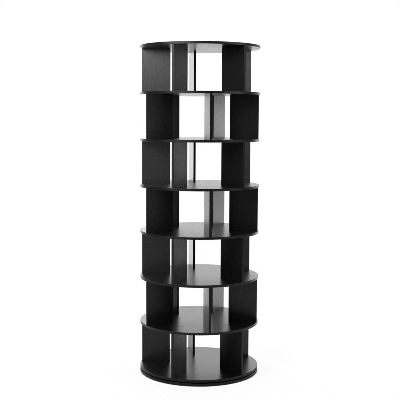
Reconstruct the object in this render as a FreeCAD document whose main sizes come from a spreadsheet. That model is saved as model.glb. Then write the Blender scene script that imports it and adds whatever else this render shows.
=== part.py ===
"""Rotating shoe tower: a stack of round shelves and upright panels that turns on a flat base.

The frame is in millimetres with +Z up. The origin is on the floor, on the axis that the stack turns about.
Boards and tiers are counted from the bottom. Board 1 is the lowest one that turns, and tier 1 stands on it.
"""
import FreeCAD, Part
import math
import os

import Sketcher

Vector = FreeCAD.Vector
Rotation = FreeCAD.Rotation
Placement = FreeCAD.Placement
upward = Vector(0, 0, 1)

doc = FreeCAD.newDocument("shoe_tower")

# Driving dimensions: millimetres, degrees and plain counts.
dimensions = {
    # round boards
    "board_radius": 225,
    "board_thickness": 9,
    "band_thickness": 1,
    "band_rounding": 0.6,
    # tiers
    "tier_count": 7,
    "tier_clear_height": 164,
    # upright panels
    "panel_count": 5,
    "panel_inner_radius": 114,
    "panel_setback": 3,
    "panel_thickness": 9,
    "first_panel_angle": 28.3,
    "tier_turn": 36,
    # screws between boards and panels
    "screw_radius": 1.75,
    "screw_head_radius": 3.5,
    "screw_length": 38,
    "screw_tip_length": 4,
    "screw_inset": 27,
    "screw_hole_clearance": 0.25,
    "thread_clearance": 0.05,
    "pilot_spare_depth": 2,
    # base
    "pad_thickness": 2,
    "pad_radius": 12.5,
    "pad_inset": 30,
    "pad_count": 6,
    "base_gap": 4,
    "pocket_clearance": 0.5,
    # swivel bearing
    "bearing_radius": 75,
    "bearing_ring_width": 13,
    "bearing_height": 8,
    "ball_radius": 2.5,
    "ball_count": 24,
    "ball_clearance": 0.3,
    "ring_lift": 0.5,
    "cage_thickness": 1,
    "cage_end_clearance": 0.6,
    # bearing screws
    "ring_screw_count": 6,
    "ring_screw_inset": 6,
    "ring_screw_radius": 2,
    "ring_screw_head_radius": 3.8,
    "ring_screw_tip_length": 1,
    "outer_screw_length": 10,
    "inner_screw_length": 13,
    "access_hole_radius": 5.5,
    "access_hole_angle": 30,
}

# Sizes that follow from them.
relations = {
    "board_core_radius": "board_radius - band_thickness",
    "panel_outer_radius": "board_radius - panel_setback",
    "panel_core_inner_radius": "panel_inner_radius + band_thickness",
    "panel_core_outer_radius": "panel_outer_radius - band_thickness",
    "panel_inner_screw_place": "panel_inner_radius + screw_inset",
    "panel_outer_screw_place": "panel_outer_radius - screw_inset",
    "screw_hole_radius": "screw_radius + screw_hole_clearance",
    "countersink_radius": "screw_head_radius + thread_clearance",
    "pilot_radius": "screw_radius + thread_clearance",
    "pilot_depth": "screw_length - board_thickness + pilot_spare_depth",
    "pad_circle_radius": "board_radius - pad_inset",
    "tier_pitch": "tier_clear_height + board_thickness",
    "base_top": "pad_thickness + board_thickness",
    "stack_bottom": "base_top + base_gap",
    "bearing_bottom": "stack_bottom - bearing_height",
    "pocket_depth": "base_top - bearing_bottom",
    "pocket_floor": "board_thickness - pocket_depth",
    "ring_height": "bearing_height - ring_lift",
    "ball_circle_radius": "bearing_radius - bearing_ring_width",
    "bearing_bore_radius": "ball_circle_radius - bearing_ring_width",
    "ring_inner_screw_place": "bearing_bore_radius + ring_screw_inset",
    "ring_outer_screw_place": "bearing_radius - ring_screw_inset",
    "ball_height": "bearing_bottom + bearing_height / 2",
    "groove_radius": "ball_radius + ball_clearance",
    "race_half_gap": "cage_thickness / 2 + ball_clearance",
    "cage_height": "bearing_height - 2 * cage_end_clearance",
    "pocket_radius": "bearing_radius + pocket_clearance",
    "ring_screw_hole_radius": "ring_screw_radius + thread_clearance",
    "ring_countersink_radius": "ring_screw_head_radius + thread_clearance",
    "outer_thread_depth": "outer_screw_length - pocket_floor + thread_clearance",
    "inner_thread_depth": "inner_screw_length - ring_height + thread_clearance",
}

sheet = doc.addObject("Spreadsheet::Sheet", "Sizes")
for row, (alias, value) in enumerate(dimensions.items(), start=1):
    sheet.set(f"A{row}", alias)
    sheet.set(f"B{row}", str(value))
    sheet.setAlias(f"B{row}", alias)
for row, (alias, formula) in enumerate(relations.items(), start=len(dimensions) + 1):
    sheet.set(f"A{row}", alias)
    sheet.set(f"B{row}", "=" + formula)
    sheet.setAlias(f"B{row}", alias)
doc.recompute()


def size(alias):
    """The present value of a cell of the sheet."""
    return float(sheet.get(alias))


tierCount = round(size("tier_count"))
panelCount = round(size("panel_count"))
subparts = []


# Sketches


def originItem(body, role):
    """One of the planes or axes of a body's own origin."""
    return next(item for item in body.Origin.OriginFeatures if item.Role == role)


def addSketch(body, name, plane="XY_Plane", height=None, turn=None):
    """A sketch on one of the body's origin planes, moved up by a height and turned about its normal."""
    sketch = body.newObject("Sketcher::SketchObject", name)
    sketch.AttachmentSupport = [(originItem(body, plane), "")]
    sketch.MapMode = "FlatFace"
    if height:
        upDirection = "z" if plane == "XY_Plane" else "y"
        sketch.setExpression("AttachmentOffset.Base." + upDirection, height)
    if turn:
        sketch.AttachmentOffset = Placement(Vector(), Rotation(upward, 1))
        sketch.setExpression("AttachmentOffset.Rotation.Angle", turn)
    return sketch


def constrain(sketch, formula, *terms):
    """One dimension of a sketch, tied to the sheet."""
    index = sketch.addConstraint(Sketcher.Constraint(*terms))
    sketch.setExpression(f"Constraints[{index}]", formula)


def addCircle(sketch, radius, along=None):
    """A circle about the sketch's origin, or about a point on its X axis."""
    middle = Vector(1 if along else 0, 0, 0)
    circle = sketch.addGeometry(Part.Circle(middle, upward, 1))
    if along:
        sketch.addConstraint(Sketcher.Constraint("PointOnObject", circle, 3, -1))
        constrain(sketch, along, "DistanceX", -1, 1, circle, 3, 1)
    else:
        sketch.addConstraint(Sketcher.Constraint("Coincident", circle, 3, -1, 1))
    constrain(sketch, radius, "Radius", circle, 1)


def addOutline(sketch, corners):
    """A closed outline of straight lines. A corner's X and Y are formulas, or None where they are 0."""
    count = len(corners)
    steps = [2 * math.pi * i / count for i in range(count + 1)]
    guesses = [Vector(math.cos(step), math.sin(step), 0) for step in steps]
    for start, end in zip(guesses, guesses[1:]):
        sketch.addGeometry(Part.LineSegment(start, end))
    for i, (across, up) in enumerate(corners):
        sketch.addConstraint(Sketcher.Constraint("Coincident", i, 2, (i + 1) % count, 1))
        for formula, kind, zeroAxis in ((across, "DistanceX", -2), (up, "DistanceY", -1)):
            if formula:
                constrain(sketch, formula, kind, -1, 1, i, 1, 1)
            else:
                sketch.addConstraint(Sketcher.Constraint("PointOnObject", i, 1, zeroAxis))


# Features


def addBody(label, height=None, turn=None):
    """A body whose own frame is raised by a height and turned about the vertical."""
    body = doc.addObject("PartDesign::Body", label)
    body.Label = label
    if height:
        body.setExpression("Placement.Base.z", height)
    if turn:
        body.Placement = Placement(Vector(), Rotation(upward, 1))
        body.setExpression("Placement.Rotation.Angle", turn)
    return body


def addPad(body, sketch, length, midplane=False):
    pad = body.newObject("PartDesign::Pad", "pad")
    pad.Profile = sketch
    pad.setExpression("Length", length)
    pad.Midplane = midplane
    return pad


def addPocket(body, sketch, length, upwards=False):
    """A pocket from the sketch down into the body, or up into it. With no length it goes right through."""
    pocket = body.newObject("PartDesign::Pocket", "pocket")
    pocket.Profile = sketch
    if length:
        pocket.setExpression("Length", length)
    else:
        pocket.Type = "ThroughAll"
    pocket.Reversed = upwards
    return pocket


def addRevolution(body, sketch, kind="PartDesign::Revolution"):
    """Turns an upright sketch about the body's vertical axis, as a solid or as a groove in one."""
    revolution = body.newObject(kind, "revolution")
    revolution.Profile = sketch
    revolution.ReferenceAxis = (sketch, ["V_Axis"])
    revolution.Angle = 360
    return revolution


def addCountersunkHoles(body, sketch, radius, headRadius, upwards=False):
    """Through holes with a 90 degree countersink where the sketch lies."""
    doc.recompute()
    hole = body.newObject("PartDesign::Hole", "holes")
    hole.Profile = sketch
    hole.ThreadType = "None"
    hole.DepthType = "ThroughAll"
    hole.HoleCutType = "Countersink"
    hole.HoleCutCustomValues = True
    hole.HoleCutCountersinkAngle = 90
    hole.setExpression("Diameter", "2 * " + radius)
    hole.setExpression("HoleCutDiameter", "2 * " + headRadius)
    hole.Reversed = upwards
    return hole


def addAround(body, feature, count):
    """Repeats a feature around the body's vertical axis."""
    pattern = body.newObject("PartDesign::PolarPattern", "around")
    pattern.Originals = [feature]
    pattern.Axis = (originItem(body, "Z_Axis"), [""])
    pattern.Angle = 360
    pattern.setExpression("Occurrences", count)
    body.Tip = pattern
    return pattern


def fillet(body, base, picks, radius):
    """Rounds the edges of a feature for which picks(edge) is true."""
    doc.recompute()
    rounding = body.newObject("PartDesign::Fillet", "rounding")
    names = [f"Edge{i}" for i, edge in enumerate(base.Shape.Edges, start=1) if picks(edge)]
    rounding.Base = (base, names)
    rounding.setExpression("Radius", radius)
    return rounding


# Groups of identical pieces


def addGroup(label, master, places):
    """One sub-part of many separate solids: copies of a master's shape at their places."""
    doc.recompute()
    group = doc.addObject("Part::Feature", label)
    group.Label = label
    copies = [master.Shape.transformed(place.toMatrix(), True) for place in places]
    group.Shape = Part.makeCompound(copies)
    subparts.append(group)


def onCircle(radius, angle, height, tilt=0):
    """A place on a circle about the axis, facing outwards. A tilt of 180 turns it upside down."""
    turn = Rotation(upward, angle)
    return Placement(turn.multVec(Vector(radius, 0, height)), turn * Rotation(Vector(1, 0, 0), tilt))


def around(radius, count, height, start=0):
    """Evenly spaced places on a circle about the axis."""
    return [onCircle(radius, start + 360 * i / count, height) for i in range(count)]


# The stack's layout


def boardHeight(board):
    """The height of a board's underside."""
    return size("stack_bottom") + (board - 1) * size("tier_pitch")


def tierAngle(tier):
    """The angle of a tier's first panel: every other tier is turned."""
    return size("first_panel_angle") + (tier + 1) % 2 * size("tier_turn")


def tierAngleFormula(tier):
    return "Sizes.first_panel_angle" + (" + Sizes.tier_turn" if tier % 2 == 0 else "")


def panelAngles(tier):
    return [tierAngle(tier) + 360 * i / panelCount for i in range(panelCount)]


# Boards


def addPanelScrewHoles(body, tier, upwards):
    """A board's countersunk holes for one tier's panels, from its top or, upwards, from its underside."""
    height = None if upwards else "Sizes.board_thickness"
    name = "holes_from_below" if upwards else "holes_from_above"
    sketch = addSketch(body, name, height=height, turn=tierAngleFormula(tier))
    for place in ("Sizes.panel_inner_screw_place", "Sizes.panel_outer_screw_place"):
        addCircle(sketch, "Sizes.screw_hole_radius", along=place)
    holes = addCountersunkHoles(body, sketch, "Sizes.screw_hole_radius", "Sizes.countersink_radius", upwards)
    addAround(body, holes, "Sizes.panel_count")


def addRoundBoard(label, height):
    body = addBody(label, height)
    outline = addSketch(body, "outline")
    addCircle(outline, "Sizes.board_core_radius")
    addPad(body, outline, "Sizes.board_thickness")
    subparts.append(body)
    return body


def addShelfBoards():
    for board in range(1, tierCount + 2):
        label = "top_board" if board > tierCount else f"shelf_board_{board}"
        body = addRoundBoard(label, f"Sizes.stack_bottom + {board - 1} * Sizes.tier_pitch")
        if board <= tierCount:
            addPanelScrewHoles(body, board, upwards=True)
        if board > 1:
            addPanelScrewHoles(body, board - 1, upwards=False)
        if board == 1:
            threads = addSketch(body, "bearing_screw_holes")
            addCircle(threads, "Sizes.ring_screw_hole_radius", along="Sizes.ring_inner_screw_place")
            pocket = addPocket(body, threads, "Sizes.inner_thread_depth", upwards=True)
            addAround(body, pocket, "Sizes.ring_screw_count")


def addPanels():
    """The upright panels. Each body's frame is half way up its panel, with X along it, away from the axis."""
    for tier in range(1, tierCount + 1):
        for number in range(1, panelCount + 1):
            height = f"Sizes.stack_bottom + {tier} * Sizes.tier_pitch - Sizes.tier_clear_height / 2"
            turn = tierAngleFormula(tier) + f" + {number - 1} * 360 / Sizes.panel_count"
            body = addBody(f"panel_{tier}_{number}", height, turn)
            outline = addSketch(body, "outline")
            inner, outer = "Sizes.panel_core_inner_radius", "Sizes.panel_core_outer_radius"
            left, right = "Sizes.panel_thickness / 2", "-Sizes.panel_thickness / 2"
            addOutline(outline, [(inner, right), (outer, right), (outer, left), (inner, left)])
            addPad(body, outline, "Sizes.tier_clear_height", midplane=True)
            pilots = addSketch(body, "pilot_holes", height="-Sizes.tier_clear_height / 2")
            for place in ("Sizes.panel_inner_screw_place", "Sizes.panel_outer_screw_place"):
                addCircle(pilots, "Sizes.pilot_radius", along=place)
            pocket = addPocket(body, pilots, "Sizes.pilot_depth", upwards=True)
            mirror = body.newObject("PartDesign::Mirrored", "upper_pilot_holes")
            mirror.Originals = [pocket]
            mirror.MirrorPlane = (originItem(body, "XY_Plane"), [""])
            body.Tip = mirror
            subparts.append(body)


def addBaseBoard():
    """The board that stands on the floor: a pocket for the bearing, screw holes and a hole for the driver."""
    body = addRoundBoard("base_board", "Sizes.pad_thickness")
    seat = addSketch(body, "bearing_pocket", height="Sizes.board_thickness")
    addCircle(seat, "Sizes.pocket_radius")
    addPocket(body, seat, "Sizes.pocket_depth")
    screws = addSketch(body, "screw_holes")
    addCircle(screws, "Sizes.ring_screw_hole_radius", along="Sizes.ring_outer_screw_place")
    holes = addCountersunkHoles(
        body, screws, "Sizes.ring_screw_hole_radius", "Sizes.ring_countersink_radius", upwards=True
    )
    addAround(body, holes, "Sizes.ring_screw_count")
    access = addSketch(body, "driver_access", turn="Sizes.access_hole_angle")
    addCircle(access, "Sizes.access_hole_radius", along="Sizes.ring_inner_screw_place")
    addPocket(body, access, None, upwards=True)


# Edge bands


def addBandRing(label, height=None):
    """The strip round a board's rim, rounded along both outer edges."""
    body = addBody(label, height)
    outline = addSketch(body, "outline")
    addCircle(outline, "Sizes.board_radius")
    addCircle(outline, "Sizes.board_core_radius")
    pad = addPad(body, outline, "Sizes.board_thickness")

    def isRim(edge):
        return isinstance(edge.Curve, Part.Circle) and edge.Curve.Radius > size("board_core_radius") + 1e-6

    fillet(body, pad, isRim, "Sizes.band_rounding")
    return body


def addPanelBand():
    """The strip on a panel's upright end, with its outer face towards +X and its back on the YZ plane."""
    body = addBody("panel_band_master")
    outline = addSketch(body, "outline")
    face, left, right = "Sizes.band_thickness", "Sizes.panel_thickness / 2", "-Sizes.panel_thickness / 2"
    addOutline(outline, [(None, right), (face, right), (face, left), (None, left)])
    pad = addPad(body, outline, "Sizes.tier_clear_height")

    def isFrontCorner(edge):
        first, last = (vertex.Point for vertex in edge.Vertexes)
        return first.x > 0 and last.x > 0 and abs(last.z - first.z) > 1e-6

    fillet(body, pad, isFrontCorner, "Sizes.band_rounding")
    return body


def addEdgeBands():
    addGroup(
        "shelf_edge_bands",
        addBandRing("band_ring_master"),
        [Placement(Vector(0, 0, boardHeight(board)), Rotation()) for board in range(1, tierCount + 2)],
    )
    subparts.append(addBandRing("base_edge_band", "Sizes.pad_thickness"))
    places = []
    for tier in range(1, tierCount + 1):
        floor = boardHeight(tier) + size("board_thickness")
        for angle in panelAngles(tier):
            places.append(onCircle(size("panel_core_outer_radius"), angle, floor))
            turnedIn = onCircle(size("panel_core_inner_radius"), angle, floor)
            places.append(turnedIn * Placement(Vector(), Rotation(upward, 180)))
    addGroup("panel_edge_bands", addPanelBand(), places)


# Screws


def addScrew(label, radius, headRadius, length, tipLength):
    """A countersunk screw along +Z, with its head's flat face at the origin."""
    body = addBody(label)
    profile = addSketch(body, "profile", plane="XZ_Plane")
    addOutline(profile, [
        (None, None),
        (headRadius, None),
        (radius, headRadius + " - " + radius),
        (radius, length + " - " + tipLength),
        (None, length),
    ])
    addRevolution(body, profile)
    return body


def addPanelScrews():
    """Two screws down into the top of each panel and two up into its foot."""
    places = []
    for tier in range(1, tierCount + 1):
        boardTop = boardHeight(tier + 1) + size("board_thickness")
        for angle in panelAngles(tier):
            for radius in (size("panel_inner_screw_place"), size("panel_outer_screw_place")):
                places.append(onCircle(radius, angle, boardHeight(tier)))
                places.append(onCircle(radius, angle, boardTop, tilt=180))
    screw = addScrew("panel_screw_master", "Sizes.screw_radius", "Sizes.screw_head_radius",
                     "Sizes.screw_length", "Sizes.screw_tip_length")
    addGroup("panel_screws", screw, places)


# Swivel bearing


def addGroove(body, groundLevel):
    """The rounded groove that the balls run in."""
    sketch = addSketch(body, "ball_groove", plane="XZ_Plane", height=f"Sizes.ball_height - {groundLevel}")
    addCircle(sketch, "Sizes.groove_radius", along="Sizes.ball_circle_radius")
    addRevolution(body, sketch, kind="PartDesign::Groove")


def addOuterRing():
    """The ring that lies in the base board's pocket, with threaded holes in its underside."""
    level = "Sizes.bearing_bottom"
    body = addBody("bearing_outer_ring", level)
    profile = addSketch(body, "profile", plane="XZ_Plane")
    inner, outer = "Sizes.ball_circle_radius + Sizes.race_half_gap", "Sizes.bearing_radius"
    top = "Sizes.ring_height"
    addOutline(profile, [(inner, None), (outer, None), (outer, top), (inner, top)])
    addRevolution(body, profile)
    addGroove(body, level)
    threads = addSketch(body, "threaded_holes")
    addCircle(threads, "Sizes.ring_screw_hole_radius", along="Sizes.ring_outer_screw_place")
    pocket = addPocket(body, threads, "Sizes.outer_thread_depth", upwards=True)
    addAround(body, pocket, "Sizes.ring_screw_count")
    subparts.append(body)


def addInnerRing():
    """The ring under the lowest shelf board, held clear of the pocket's floor, with countersunk holes."""
    level = "(Sizes.bearing_bottom + Sizes.ring_lift)"
    body = addBody("bearing_inner_ring", level)
    profile = addSketch(body, "profile", plane="XZ_Plane")
    inner, outer = "Sizes.bearing_bore_radius", "Sizes.ball_circle_radius - Sizes.race_half_gap"
    top = "Sizes.ring_height"
    addOutline(profile, [(inner, None), (outer, None), (outer, top), (inner, top)])
    addRevolution(body, profile)
    addGroove(body, level)
    screws = addSketch(body, "screw_holes")
    addCircle(screws, "Sizes.ring_screw_hole_radius", along="Sizes.ring_inner_screw_place")
    holes = addCountersunkHoles(
        body, screws, "Sizes.ring_screw_hole_radius", "Sizes.ring_countersink_radius", upwards=True
    )
    addAround(body, holes, "Sizes.ring_screw_count")
    subparts.append(body)


def addBallsAndCage():
    body = addBody("ball_cage", "Sizes.ball_height - Sizes.cage_height / 2")
    profile = addSketch(body, "profile", plane="XZ_Plane")
    inner = "Sizes.ball_circle_radius - Sizes.cage_thickness / 2"
    outer = "Sizes.ball_circle_radius + Sizes.cage_thickness / 2"
    top = "Sizes.cage_height"
    addOutline(profile, [(inner, None), (outer, None), (outer, top), (inner, top)])
    addRevolution(body, profile)
    window = addSketch(body, "ball_window", plane="YZ_Plane", height="Sizes.cage_height / 2")
    addCircle(window, "Sizes.groove_radius")
    pocket = addPocket(body, window, None, upwards=True)
    addAround(body, pocket, "Sizes.ball_count")
    subparts.append(body)

    ball = doc.addObject("Part::Sphere", "ball_master")
    ball.setExpression("Radius", "Sizes.ball_radius")
    count = round(size("ball_count"))
    addGroup("bearing_balls", ball, around(size("ball_circle_radius"), count, size("ball_height")))


def addBearingScrews():
    """Machine screws up through the base board into the outer ring, and wood screws into shelf board 1."""
    count = round(size("ring_screw_count"))
    common = ("Sizes.ring_screw_radius", "Sizes.ring_screw_head_radius")
    outer = addScrew("outer_screw_master", *common, "Sizes.outer_screw_length", "Sizes.ring_screw_tip_length")
    places = around(size("ring_outer_screw_place"), count, size("pad_thickness"))
    addGroup("outer_ring_screws", outer, places)
    inner = addScrew("inner_screw_master", *common, "Sizes.inner_screw_length", "Sizes.ring_screw_tip_length")
    level = size("bearing_bottom") + size("ring_lift")
    addGroup("inner_ring_screws", inner, around(size("ring_inner_screw_place"), count, level))


# Feet


def addPads():
    pad = doc.addObject("Part::Cylinder", "pad_master")
    pad.setExpression("Radius", "Sizes.pad_radius")
    pad.setExpression("Height", "Sizes.pad_thickness")
    count = round(size("pad_count"))
    addGroup("foot_pads", pad, around(size("pad_circle_radius"), count, 0))


addShelfBoards()
addPanels()
addBaseBoard()
addEdgeBands()
addPanelScrews()
addOuterRing()
addInnerRing()
addBallsAndCage()
addBearingScrews()
addPads()
doc.recompute()

for item in doc.Objects:
    if "Invalid" in item.State or "Error" in item.State:
        raise RuntimeError(f"{item.Label} did not recompute: {item.State}")
for item in subparts:
    if item.Shape.isNull() or not item.Shape.isValid():
        raise RuntimeError(f"{item.Label} has no valid shape")

os.makedirs("parts", exist_ok=True)
for item in subparts:
    item.Shape.exportStep(f"parts/{item.Label}.step")
    print(f"{item.Label}: {len(item.Shape.Solids)} solids, {item.Shape.Volume / 1000:.2f} cm3")
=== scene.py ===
import math
import random

import bmesh
import bpy
from mathutils import Matrix


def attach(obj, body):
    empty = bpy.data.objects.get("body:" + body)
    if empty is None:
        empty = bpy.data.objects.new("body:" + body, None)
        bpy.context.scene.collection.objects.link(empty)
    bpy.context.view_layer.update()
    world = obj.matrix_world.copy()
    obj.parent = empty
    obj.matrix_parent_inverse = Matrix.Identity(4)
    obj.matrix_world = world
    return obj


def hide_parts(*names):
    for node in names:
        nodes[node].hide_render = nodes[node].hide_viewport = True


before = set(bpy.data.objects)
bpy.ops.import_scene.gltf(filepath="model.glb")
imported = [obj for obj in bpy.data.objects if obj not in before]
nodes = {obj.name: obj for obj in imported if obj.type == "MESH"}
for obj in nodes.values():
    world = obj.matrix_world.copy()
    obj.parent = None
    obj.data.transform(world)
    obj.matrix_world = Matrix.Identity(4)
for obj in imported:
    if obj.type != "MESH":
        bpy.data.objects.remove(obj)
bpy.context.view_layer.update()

scene = bpy.context.scene
scene.view_settings.view_transform = "Standard"
scene.cycles.filter_width = 0.7  # crisp edges
print("frame loaded:", len(nodes), "parts")


class Wire:  # an output of a shader node; sums and products of wires add Math nodes
    def __init__(self, shader, socket):
        self.shader = shader
        self.socket = socket

    def out(self, name):  # another output of the same node
        return Wire(self.shader, self.socket.node.outputs[name])

    def math(self, operation, first, second):
        return self.shader.add("ShaderNodeMath", {"operation": operation}, {0: first, 1: second})

    def __add__(self, other):
        return self.math("ADD", self, other)

    def __sub__(self, other):
        return self.math("SUBTRACT", self, other)

    def __rsub__(self, other):
        return self.math("SUBTRACT", other, self)

    def __mul__(self, other):
        return self.math("MULTIPLY", self, other)

    __radd__ = __add__
    __rmul__ = __mul__


class Shader:  # the node tree of one material, lamp or world
    def __init__(self, owner):
        owner.use_nodes = True
        self.tree = owner.node_tree
        self.tree.nodes.clear()

    def add(self, kind, settings, inputs, output=0):
        node = self.tree.nodes.new(kind)
        for name, value in settings.items():
            setattr(node, name, value)
        for name, value in inputs.items():
            if isinstance(value, Wire):
                self.tree.links.new(value.socket, node.inputs[name])
            else:
                node.inputs[name].default_value = value
        return Wire(self, node.outputs[output]) if node.outputs else None

    def coordinates(self):
        return self.add("ShaderNodeTexCoord", {}, {}, "Object")

    def stretched(self, scale):  # object coordinates, scaled by a different factor along each axis
        return self.add("ShaderNodeMapping", {}, {"Vector": self.coordinates(), "Scale": scale})

    def noise(self, where, size, detail=2.0, rough=0.5):  # size is that of one blotch, in metres
        return self.add("ShaderNodeTexNoise", {}, {
            "Vector": where, "Scale": 1 / size, "Detail": detail, "Roughness": rough,
        })

    def bump(self, height, depth, under=None):
        inputs = {"Height": height, "Distance": depth, "Strength": 1.0}
        if under:
            inputs["Normal"] = under
        return self.add("ShaderNodeBump", {}, inputs)

    def tint(self, low, high, mask):  # one colour where the mask is 0, the other where it is 1
        colours = {"Factor": mask, "A": low + (1,), "B": high + (1,)}
        return self.add("ShaderNodeMix", {"data_type": "RGBA"}, colours, 2)


def newFinish(name):
    finish = bpy.data.materials.new(name)
    return finish, Shader(finish)


def closeFinish(shader, fixed, varying):
    surface = shader.add("ShaderNodeBsdfPrincipled", {}, {**fixed, **varying})
    shader.add("ShaderNodeOutputMaterial", {}, {"Surface": surface})


melamine = {
    "darkest": (0.0018, 0.0018, 0.0019),
    "palest": (0.0029, 0.0029, 0.0030),
    "roughness": 0.345,
    "sheenSpread": 0.045,   # how much the roughness wanders over the mottle
    "pebbleSheen": 0.15,    # and from pebble to pebble
    "lacquer": 0.22,        # a thin gloss that is uneven from spot to spot
    "lacquerSpread": 0.9,
    "lacquerRoughness": 0.30,
    "pebbleSize": 0.0011,
    "pebbleDepth": 0.000005,
    "mottleSize": 0.0052,
    "mottleDepth": 0.000006,
    "cloudSize": 0.09,
    "cloudSheen": 0.03,     # and over a wide cloud
    "ior": 1.4,
}


def makeMelamine():
    finish, shader = newFinish("blackMelamine")
    where = shader.coordinates()
    pebble = shader.noise(where, melamine["pebbleSize"], detail=2.0, rough=0.6)
    mottle = shader.noise(where, melamine["mottleSize"], detail=3.0, rough=0.55)
    cloud = shader.noise(where, melamine["cloudSize"], detail=2.0)
    sheen = (mottle - 0.5) * melamine["sheenSpread"] + (pebble - 0.5) * melamine["pebbleSheen"]
    sheen = sheen + (cloud - 0.5) * melamine["cloudSheen"]
    bumps = shader.bump(pebble, melamine["pebbleDepth"])
    bumps = shader.bump(mottle, melamine["mottleDepth"], under=bumps)
    closeFinish(shader, {"IOR": melamine["ior"], "Coat Roughness": melamine["lacquerRoughness"]}, {
        "Base Color": shader.tint(melamine["darkest"], melamine["palest"], mottle),
        "Roughness": sheen + melamine["roughness"],
        "Coat Weight": (mottle - 0.5) * melamine["lacquerSpread"] + melamine["lacquer"],
        "Normal": bumps,
    })
    return finish


edgeBand = {
    "darkest": (0.0020, 0.0020, 0.0021),
    "palest": (0.0031, 0.0031, 0.0032),
    "roughness": 0.39,
    "streakSize": 0.0007,
    "streakDepth": 0.0000025,
    "blotchSize": 0.03,
    "sheenSpread": 0.05,
    "ior": 1.4,
}


def makeEdgeBand(name, scale):  # the fine streaks run along the strip, so they are stretched that way
    finish, shader = newFinish(name)
    streaks = shader.noise(shader.stretched(scale), edgeBand["streakSize"], detail=2.0)
    blotch = shader.noise(shader.coordinates(), edgeBand["blotchSize"], detail=3.0)
    spread = edgeBand["sheenSpread"]
    closeFinish(shader, {"IOR": edgeBand["ior"]}, {
        "Base Color": shader.tint(edgeBand["darkest"], edgeBand["palest"], streaks),
        "Roughness": (streaks - 0.5) * spread + (blotch - 0.5) * spread + edgeBand["roughness"],
        "Normal": shader.bump(streaks, edgeBand["streakDepth"]),
    })
    return finish


metals = {
    "blackScrew": {
        "dark": (0.022, 0.022, 0.023), "pale": (0.045, 0.045, 0.046), "roughness": 0.42, "grain": 0.0004,
    },
    "zincSteel": {
        "dark": (0.50, 0.50, 0.49), "pale": (0.68, 0.68, 0.66), "roughness": 0.30, "grain": 0.0012,
    },
    "bearingSteel": {
        "dark": (0.64, 0.64, 0.65), "pale": (0.72, 0.72, 0.73), "roughness": 0.09, "grain": 0.0020,
    },
}
metalGrain = {"sheenSpread": 0.10, "depth": 0.00001}


def makeMetal(name):
    look = metals[name]
    finish, shader = newFinish(name)
    grain = shader.noise(shader.coordinates(), look["grain"], detail=3.0, rough=0.6)
    closeFinish(shader, {"Metallic": 1.0}, {
        "Base Color": shader.tint(look["dark"], look["pale"], grain),
        "Roughness": (grain - 0.5) * metalGrain["sheenSpread"] + look["roughness"],
        "Normal": shader.bump(grain, metalGrain["depth"]),
    })
    return finish


turnedAluminium = {
    "dark": (0.60, 0.60, 0.61),
    "pale": (0.76, 0.76, 0.77),
    "roughness": 0.27,
    "sheenSpread": 0.12,
    "markSize": 0.004,
    "ringSpacing": 0.0005,
    "ringDepth": 0.000012,
}


def makeAluminium():
    finish, shader = newFinish("turnedAluminium")
    flat = shader.stretched((1, 1, 0))
    radius = shader.add("ShaderNodeVectorMath", {"operation": "LENGTH"}, {0: flat}, "Value")
    phase = radius * (2 * math.pi / turnedAluminium["ringSpacing"])
    turns = shader.add("ShaderNodeMath", {"operation": "SINE"}, {0: phase})
    marks = shader.noise(shader.coordinates(), turnedAluminium["markSize"], detail=4.0)
    closeFinish(shader, {"Metallic": 1.0}, {
        "Base Color": shader.tint(turnedAluminium["dark"], turnedAluminium["pale"], marks),
        "Roughness": (marks - 0.5) * turnedAluminium["sheenSpread"] + turnedAluminium["roughness"],
        "Normal": shader.bump(turns, turnedAluminium["ringDepth"]),
    })
    return finish


nylon = {
    "dark": (0.76, 0.75, 0.70),
    "pale": (0.86, 0.85, 0.81),
    "roughness": 0.46,
    "sheenSpread": 0.08,
    "grain": 0.0015,
    "grainDepth": 0.00002,
    "milkiness": 0.1,
    "ior": 1.53,
}


def makeNylon():
    finish, shader = newFinish("nylonCage")
    grain = shader.noise(shader.coordinates(), nylon["grain"], detail=3.0)
    closeFinish(shader, {"IOR": nylon["ior"], "Subsurface Weight": nylon["milkiness"]}, {
        "Base Color": shader.tint(nylon["dark"], nylon["pale"], grain),
        "Roughness": (grain - 0.5) * nylon["sheenSpread"] + nylon["roughness"],
        "Normal": shader.bump(grain, nylon["grainDepth"]),
    })
    return finish


rubber = {
    "dark": (0.018, 0.018, 0.018),
    "pale": (0.034, 0.034, 0.034),
    "roughness": 0.74,
    "sheenSpread": 0.10,
    "grain": 0.0006,
    "grainDepth": 0.00005,
    "ior": 1.5,
}


def makeRubber():
    finish, shader = newFinish("padRubber")
    grain = shader.noise(shader.coordinates(), rubber["grain"], detail=4.0, rough=0.6)
    closeFinish(shader, {"IOR": rubber["ior"]}, {
        "Base Color": shader.tint(rubber["dark"], rubber["pale"], grain),
        "Roughness": (grain - 0.5) * rubber["sheenSpread"] + rubber["roughness"],
        "Normal": shader.bump(grain, rubber["grainDepth"]),
    })
    return finish


boardFinish = makeMelamine()
roundBandFinish = makeEdgeBand("roundEdgeBand", (0.04, 0.04, 1))     # streaks round the rim
uprightBandFinish = makeEdgeBand("uprightEdgeBand", (1, 1, 0.03))    # streaks up the panel's end
screwFinish = makeMetal("blackScrew")
zincFinish = makeMetal("zincSteel")
ballFinish = makeMetal("bearingSteel")
ringFinish = makeAluminium()
cageFinish = makeNylon()
padFinish = makeRubber()

finishOf = {
    "shelf_edge_bands": roundBandFinish,
    "base_edge_band": roundBandFinish,
    "panel_edge_bands": uprightBandFinish,
    "bearing_outer_ring": ringFinish,
    "bearing_inner_ring": ringFinish,
    "ball_cage": cageFinish,
    "bearing_balls": ballFinish,
}


def dress(piece, finish):
    piece.data.materials.clear()
    piece.data.materials.append(finish)


for name, node in nodes.items():
    dress(node, finishOf.get(name, boardFinish))
print("finishes made and put on the boards, bands and bearing")


near = 1e-6  # places closer than this are the same


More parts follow.
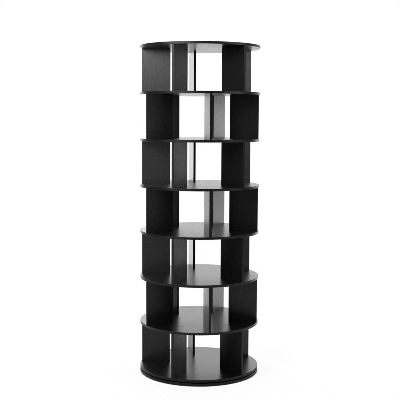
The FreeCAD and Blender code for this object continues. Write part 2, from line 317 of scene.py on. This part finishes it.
def clearSelection():
    if bpy.context.object and bpy.context.object.mode == "EDIT":
        bpy.ops.object.mode_set(mode="OBJECT")
    bpy.ops.object.select_all(action="DESELECT")


def pickEdges(piece, test):  # in edit mode: select just the edges whose two ends pass the test
    bpy.ops.mesh.select_mode(type="EDGE")
    bpy.ops.mesh.select_all(action="DESELECT")
    sheet = bmesh.from_edit_mesh(piece.data)
    for edge in sheet.edges:
        edge.select_set(all(test(vert.co) for vert in edge.verts))
    sheet.select_flush_mode()
    bmesh.update_edit_mesh(piece.data)


def pickFaces(piece, test):  # the same for faces, by their middle and normal
    bpy.ops.mesh.select_mode(type="FACE")
    bpy.ops.mesh.select_all(action="DESELECT")
    sheet = bmesh.from_edit_mesh(piece.data)
    for face in sheet.faces:
        face.select_set(test(face.calc_center_median(), face.normal))
    sheet.select_flush_mode()
    bmesh.update_edit_mesh(piece.data)


def drawOut(dx=0.0, dy=0.0, dz=0.0, scale=None):  # extrude what is selected, then scale its end
    bpy.ops.mesh.extrude_region_move(TRANSFORM_OT_translate={"value": (dx, dy, dz)})
    if scale is not None:
        bpy.ops.transform.resize(value=(scale, scale, 1), center_override=(0, 0, 0))


def copyTo(piece, places, name):  # one object made of copies of a piece, each at its place
    copies = []
    for i, place in enumerate(places):
        mesh = piece.data.copy()
        mesh.transform(place)
        copy = bpy.data.objects.new(f"{name}_{i}", mesh)
        scene.collection.objects.link(copy)
        copies.append(copy)
    bpy.data.objects.remove(piece)
    clearSelection()
    for copy in copies:
        copy.select_set(True)
    bpy.context.view_layer.objects.active = copies[0]
    bpy.ops.object.join()
    group = bpy.context.object
    group.name = name
    return group


screwShape = {"recessTaper": 0.42, "pointTaper": 0.04, "sides": 24, "smoothAngle": 25}


def makeScrew(name, look):
    clearSelection()
    slot, arm = look["slotWidth"] / 2, look["slotLength"] / 2
    bpy.ops.mesh.primitive_plane_add(size=2 * slot, location=(0, 0, 0))
    screw = bpy.context.object
    screw.name = name
    bpy.ops.object.mode_set(mode="EDIT")
    for dx, dy in ((1, 0), (0, 1), (-1, 0), (0, -1)):  # the square grows into a cross
        pickEdges(screw, lambda co: (
            abs(co.x * dx + co.y * dy - slot) < near and abs(co.x * dy + co.y * dx) < slot + near
        ))
        drawOut(dx * (arm - slot), dy * (arm - slot))
    bpy.ops.mesh.select_all(action="SELECT")
    # the driver's recess. A known fault: the sheet keeps its own faces here, so they cover the recess
    drawOut(dz=look["recessDepth"], scale=screwShape["recessTaper"])
    clearSelection()
    screw.select_set(True)
    bpy.ops.object.mode_set(mode="EDIT")
    bpy.ops.mesh.select_all(action="DESELECT")
    rim = look["headRadius"] - look["headEdge"]
    bpy.ops.mesh.primitive_circle_add(vertices=screwShape["sides"], radius=rim, location=(0, 0, 0))
    pickEdges(screw, lambda co: abs(co.z) < near)
    bpy.ops.mesh.fill()  # the flat of the head, and over the cross once more
    pickEdges(screw, lambda co: abs(co.z) < near and abs(co.xy.length - rim) < near)
    cone = look["headRadius"] - look["shankRadius"]
    drawOut(dz=look["headEdge"], scale=look["headRadius"] / rim)  # a small rounded edge
    drawOut(dz=cone - look["headEdge"], scale=look["shankRadius"] / look["headRadius"])
    drawOut(dz=look["length"] - cone - look["tip"])
    drawOut(dz=look["tip"], scale=screwShape["pointTaper"])
    bpy.ops.mesh.edge_face_add()
    bpy.ops.mesh.select_all(action="SELECT")
    bpy.ops.mesh.remove_doubles(threshold=near)
    bpy.ops.mesh.normals_make_consistent(inside=False)
    bpy.ops.object.mode_set(mode="OBJECT")
    bpy.ops.object.shade_smooth_by_angle(angle=math.radians(screwShape["smoothAngle"]))
    return screw


panelScrew = {
    "headRadius": 0.0035,
    "headEdge": 0.00018,
    "shankRadius": 0.00175,
    "length": 0.038,
    "tip": 0.004,
    "slotWidth": 0.0009,
    "slotLength": 0.0042,
    "recessDepth": 0.0019,
    "innerPlace": 0.141,
    "outerPlace": 0.195,
}

tower = {
    "tiers": 7,
    "panels": 5,
    "lowestBoard": 0.015,
    "pitch": 0.173,
    "boardThickness": 0.009,
    "firstAngle": 28.3,
    "tierTurn": 36.0,
}

hands = random.Random(11)  # each screw stops at an angle of its own


def screwPlace(radius, angle, height, upsideDown=False):
    across = Matrix.Rotation(math.radians(angle), 4, "Z") @ Matrix.Translation((radius, 0, height))
    flip = Matrix.Rotation(math.pi if upsideDown else 0, 4, "X")
    return across @ flip @ Matrix.Rotation(hands.uniform(0, math.pi), 4, "Z")


panelPlaces = []
for tier in range(tower["tiers"]):
    below = tower["lowestBoard"] + tier * tower["pitch"]
    above = below + tower["pitch"] + tower["boardThickness"]
    for panel in range(tower["panels"]):
        angle = tower["firstAngle"] + (tier % 2) * tower["tierTurn"] + panel * 360 / tower["panels"]
        for radius in (panelScrew["innerPlace"], panelScrew["outerPlace"]):
            panelPlaces.append(screwPlace(radius, angle, below))
            panelPlaces.append(screwPlace(radius, angle, above, upsideDown=True))

screws = copyTo(makeScrew("screw", panelScrew), panelPlaces, "panelScrews")
dress(screws, screwFinish)
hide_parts("panel_screws")
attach(screws, "tower")
print("panel screws:", len(panelPlaces))

ringScrew = {
    "headRadius": 0.0038,
    "headEdge": 0.0002,
    "shankRadius": 0.002,
    "tip": 0.001,
    "slotWidth": 0.001,
    "slotLength": 0.0044,
    "recessDepth": 0.0021,
    "count": 6,
    "outerCircle": 0.069,
    "outerHeight": 0.002,
    "outerLength": 0.010,
    "innerCircle": 0.055,
    "innerHeight": 0.0075,
    "innerLength": 0.013,
}


def addRingScrews(name, node, body, side):
    count, radius, height = ringScrew["count"], ringScrew[side + "Circle"], ringScrew[side + "Height"]
    places = [screwPlace(radius, 360 * i / count, height) for i in range(count)]
    screw = makeScrew(name + "One", {**ringScrew, "length": ringScrew[side + "Length"]})
    group = copyTo(screw, places, name)
    dress(group, zincFinish)
    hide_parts(node)
    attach(group, body)


addRingScrews("outerRingScrews", "outer_ring_screws", "base", "outer")
addRingScrews("innerRingScrews", "inner_ring_screws", "tower", "inner")
print("bearing screws:", 2 * ringScrew["count"])


footPad = {
    "radius": 0.0125,
    "thickness": 0.002,
    "sides": 40,
    "rounding": 0.0005,
    "ridges": 3,
    "ringWidth": 0.0018,
    "ringEdge": 0.0003,
    "grooveDepth": 0.00035,
    "smoothAngle": 35,
    "circle": 0.195,
    "count": 6,
}


def underside(middle, normal):  # the innermost face that looks down
    return normal.z < -0.99 and middle.xy.length < 10 * near


def makePad():
    clearSelection()
    thickness = footPad["thickness"]
    bpy.ops.mesh.primitive_cylinder_add(
        vertices=footPad["sides"], radius=footPad["radius"], depth=thickness, location=(0, 0, thickness / 2),
    )
    pad = bpy.context.object
    pad.name = "pad"
    bpy.ops.object.transform_apply(location=True, rotation=True, scale=True)
    bpy.ops.object.mode_set(mode="EDIT")
    pickEdges(pad, lambda co: co.z < near)
    bpy.ops.mesh.bevel(offset=footPad["rounding"], segments=3, affect="EDGES")
    for ridge in range(footPad["ridges"]):  # rings that grip the floor, with grooves between them
        pickFaces(pad, underside)
        bpy.ops.mesh.inset(thickness=footPad["ringWidth"])
        pickFaces(pad, underside)
        bpy.ops.mesh.inset(thickness=footPad["ringEdge"])
        drawOut(dz=footPad["grooveDepth"] * (1 if ridge % 2 == 0 else -1))
    bpy.ops.mesh.select_all(action="SELECT")
    bpy.ops.mesh.normals_make_consistent(inside=False)
    bpy.ops.object.mode_set(mode="OBJECT")
    bpy.ops.object.shade_smooth_by_angle(angle=math.radians(footPad["smoothAngle"]))
    return pad


outward = Matrix.Translation((footPad["circle"], 0, 0))
padPlaces = [
    Matrix.Rotation(2 * math.pi * i / footPad["count"], 4, "Z") @ outward
    for i in range(footPad["count"])
]
pads = copyTo(makePad(), padPlaces, "footPads")
dress(pads, padFinish)
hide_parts("foot_pads")
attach(pads, "base")
print("foot pads:", len(padPlaces))


studio = {
    "white": (1, 1, 1, 1),
    "floorRadius": 1.55,
    "floorSides": 96,
    "floorColor": 0.80,
    "floorGlow": 0.88,       # near the tower the light it stands in adds the rest, so its shadow shows
    "floorShade": 0.14,
    "fadeFrom": 0.35,        # further out the floor is as white as the background
    "fadeTo": 1.0,
    "glowFrom": 0.2265,      # under the base the floor is left to the shadow
    # in the boards' gloss the floor is grey in front of the tower, in its shade, and white further out
    "shadeMiddle": (0, -0.35, 0),
    "shadeFrom": 0.25,
    "shadeTo": 1.0,
    "tentRadius": 1.75,
    "tentSides": 48,
    "tentHeight": 2.6,
    "tentStrength": 0.12,
    "overheadSize": 2,
    # angle from straight behind, clockwise from above; span in degrees; low and high edge; distance; strength
    # the strengths, the tent's too, weren't chosen by hand: a separate program fitted them by least squares
    "softboxes": {
        "backLow": (8, 32, 0.0, 0.5, 1.60, 1.6),
        "backMiddle": (8, 32, 0.5, 0.8, 1.60, 1.78),
        "backWaist": (8, 32, 0.8, 0.89, 1.60, 2.21),
        "backBand": (8, 32, 0.89, 1.05, 1.60, 0.49),
        "backHigh": (8, 32, 1.05, 1.9, 1.60, 2.11),
        "backLeftFloor": (340, 24, 0.0, 0.26, 0.95, 2.21),
        "backLeftLow": (340, 24, 0.0, 0.45, 1.60, 2.43),
        "backLeftMiddle": (340, 24, 0.45, 0.62, 1.60, 2.21),
        "backLeftWaist": (340, 24, 0.62, 0.85, 1.60, 2.76),
        "backLeftUpper": (340, 24, 0.85, 1.15, 1.60, 2.67),
        "backLeftHigh": (340, 24, 1.15, 1.6, 1.60, 2.55),
        "backRight": (31, 14, 0.0, 1.4, 1.60, 1.8),
        "backRightFloor": (50, 22, 0.0, 0.26, 0.95, 2.16),
        "backRightLow": (44, 14, 0.0, 0.45, 1.60, 3.0),
        "backRightMiddle": (44, 14, 0.45, 0.85, 1.60, 1.95),
        "backRightUpper": (44, 14, 0.85, 1.05, 1.60, 4.4),
        "backRightTop": (48, 20, 1.05, 1.27, 1.60, 0.44),
        "backRightHigh": (52, 28, 1.27, 1.6, 1.60, 1.03),
        "sideRightMiddle": (58, 14, 0.45, 0.85, 1.60, 0.95),
        "right": (113, 30, 1.1, 1.6, 1.60, 2.85),
        "rightMiddle": (121, 46, 0.8, 1.1, 1.60, 1.0),
        "rightLow": (121, 46, 0.25, 0.8, 1.60, 0.61),
        "keyTop": (209, 26, 1.45, 2.15, 1.60, 8.0),
        "keyMiddle": (210, 24, 1.29, 1.45, 1.60, 8.0),
        "keySide": (230, 16, 1.29, 2.15, 1.60, 8.0),
        "keyLip": (216, 32, 1.1, 1.29, 1.60, 2.19),
        "keySkirt": (222, 50, 0.25, 0.85, 1.60, 1.15),
        "left": (282.5, 63, 0.0, 1.45, 1.60, 0.21),
        "leftRear": (321, 14, 0.0, 0.75, 1.60, 2.39),
        "leftRearHigh": (321, 14, 0.75, 1.5, 1.60, 3.37),
        "frontHigh": (161, 50, 1.45, 2.15, 1.60, 0.5),
        "rightHigh": (106, 56, 1.6, 2.15, 1.60, 1.5),
        "leftHigh": (275, 54, 1.4, 2.15, 1.60, 0.5),
        "backTop": (14, 110, 1.9, 2.4, 1.60, 1.5),
        "overhead": (0, 360, 2.5, 2.5, 0.0, 1.5),
    },
}


# 1 for the rays that show the background: from the camera, and by way of gloss and glass
def background(shader, gloss=1.0):
    path = shader.add("ShaderNodeLightPath", {}, {}, "Is Camera Ray")
    return path + (path.out("Is Glossy Ray") + path.out("Is Transmission Ray")) * gloss


def glowing(name, strength):
    finish, shader = newFinish(name)
    light = shader.add("ShaderNodeEmission", {}, {"Color": studio["white"], "Strength": strength})
    shader.add("ShaderNodeOutputMaterial", {}, {"Surface": light})
    return finish


def makeFloor():
    clearSelection()
    bpy.ops.mesh.primitive_circle_add(
        vertices=studio["floorSides"], radius=studio["floorRadius"], fill_type="NGON", location=(0, 0, 0),
    )
    floor = bpy.context.object
    floor.name = "floor"
    finish, shader = newFinish("paleFloor")
    where = shader.coordinates()
    radius = shader.add("ShaderNodeVectorMath", {"operation": "LENGTH"}, {0: where}, "Value")
    outside = shader.add("ShaderNodeMath", {"operation": "GREATER_THAN"}, {0: radius, 1: studio["glowFrom"]})
    ends = {0: where, 1: studio["shadeMiddle"]}
    reach = shader.add("ShaderNodeVectorMath", {"operation": "DISTANCE"}, ends, "Value")
    away = shader.add("ShaderNodeMapRange", {"interpolation_type": "SMOOTHSTEP"}, {
        "Value": reach, "From Min": studio["shadeFrom"], "From Max": studio["shadeTo"],
    })
    matt = shader.add("ShaderNodeBsdfDiffuse", {}, {"Color": (studio["floorColor"],) * 3 + (1,)})
    shade = shader.add("ShaderNodeBsdfDiffuse", {}, {"Color": (studio["floorShade"],) * 3 + (1,)})
    glow = shader.add("ShaderNodeEmission", {}, {"Color": studio["white"], "Strength": studio["floorGlow"]})
    near = shader.add("ShaderNodeAddShader", {}, {0: glow, 1: shade})
    plain = shader.add("ShaderNodeEmission", {}, {"Color": studio["white"], "Strength": 1.0})
    fade = shader.add("ShaderNodeMapRange", {"interpolation_type": "SMOOTHSTEP"}, {
        "Value": radius, "From Min": studio["fadeFrom"], "From Max": studio["fadeTo"],
    })
    white = shader.add("ShaderNodeMixShader", {}, {0: fade, 1: near, 2: plain})
    seen = shader.add("ShaderNodeMixShader", {}, {0: background(shader, away) * outside, 1: matt, 2: white})
    shader.add("ShaderNodeOutputMaterial", {}, {"Surface": seen})
    dress(floor, finish)


def hangLight(light, name, strength):
    light.name = name
    bpy.ops.object.transform_apply(location=True, rotation=True, scale=True)
    dress(light, glowing(name, strength))
    light.visible_camera = False


def makeLights():
    clearSelection()
    height = studio["tentHeight"]
    bpy.ops.mesh.primitive_cylinder_add(
        vertices=studio["tentSides"], radius=studio["tentRadius"], depth=height, location=(0, 0, height / 2),
    )
    tent = bpy.context.object
    bpy.ops.object.mode_set(mode="EDIT")
    pickFaces(tent, lambda middle, normal: normal.z < -0.9)  # the tent has no bottom
    bpy.ops.mesh.delete(type="FACE")
    bpy.ops.mesh.select_all(action="SELECT")
    bpy.ops.mesh.flip_normals()
    bpy.ops.object.mode_set(mode="OBJECT")
    hangLight(tent, "tent", studio["tentStrength"])
    for name, (angle, span, low, high, distance, strength) in studio["softboxes"].items():
        clearSelection()
        turn = math.radians(angle)
        if high > low:
            spot = (distance * math.sin(turn), distance * math.cos(turn), (low + high) / 2)
            bpy.ops.mesh.primitive_plane_add(size=1, location=spot, rotation=(math.pi / 2, 0, -turn))
            size = (2 * distance * math.tan(math.radians(span / 2)), high - low, 1)
        else:
            bpy.ops.mesh.primitive_plane_add(size=1, location=(0, 0, low), rotation=(math.pi, 0, 0))
            size = (studio["overheadSize"], studio["overheadSize"], 1)
        bpy.context.object.scale = size
        hangLight(bpy.context.object, name, strength)


def makeWorld():
    world = bpy.data.worlds.new("studioWorld")
    scene.world = world
    world.cycles.sampling_method = "NONE"  # the tent hides the world from all but the camera
    shader = Shader(world)
    white = shader.add("ShaderNodeBackground", {}, {"Color": studio["white"], "Strength": 1.0})
    glow = {"Color": studio["white"], "Strength": studio["tentStrength"]}
    room = shader.add("ShaderNodeBackground", {}, glow)
    seen = shader.add("ShaderNodeMixShader", {}, {0: background(shader), 1: room, 2: white})
    shader.add("ShaderNodeOutputWorld", {}, {"Surface": seen})


camera = {
    "sensor": 36,
    "lens": 77.124,
    "shift": -0.03,
    "place": (0.001407, -3.248, 0.96681),
    "lookDown": 4.6761,
    "roll": 0.2793,
}


def makeCamera():
    data = bpy.data.cameras.new("camera")
    data.sensor_width = camera["sensor"]
    data.lens = camera["lens"]
    data.shift_y = camera["shift"]
    eye = bpy.data.objects.new("camera", data)
    scene.collection.objects.link(eye)
    tilt = Matrix.Rotation(math.radians(90 - camera["lookDown"]), 4, "X")
    roll = Matrix.Rotation(math.radians(camera["roll"]), 4, "Z")
    eye.matrix_world = Matrix.Translation(camera["place"]) @ tilt @ roll
    scene.camera = eye


makeFloor()
makeLights()
makeWorld()
makeCamera()
print("floor, light and camera set")
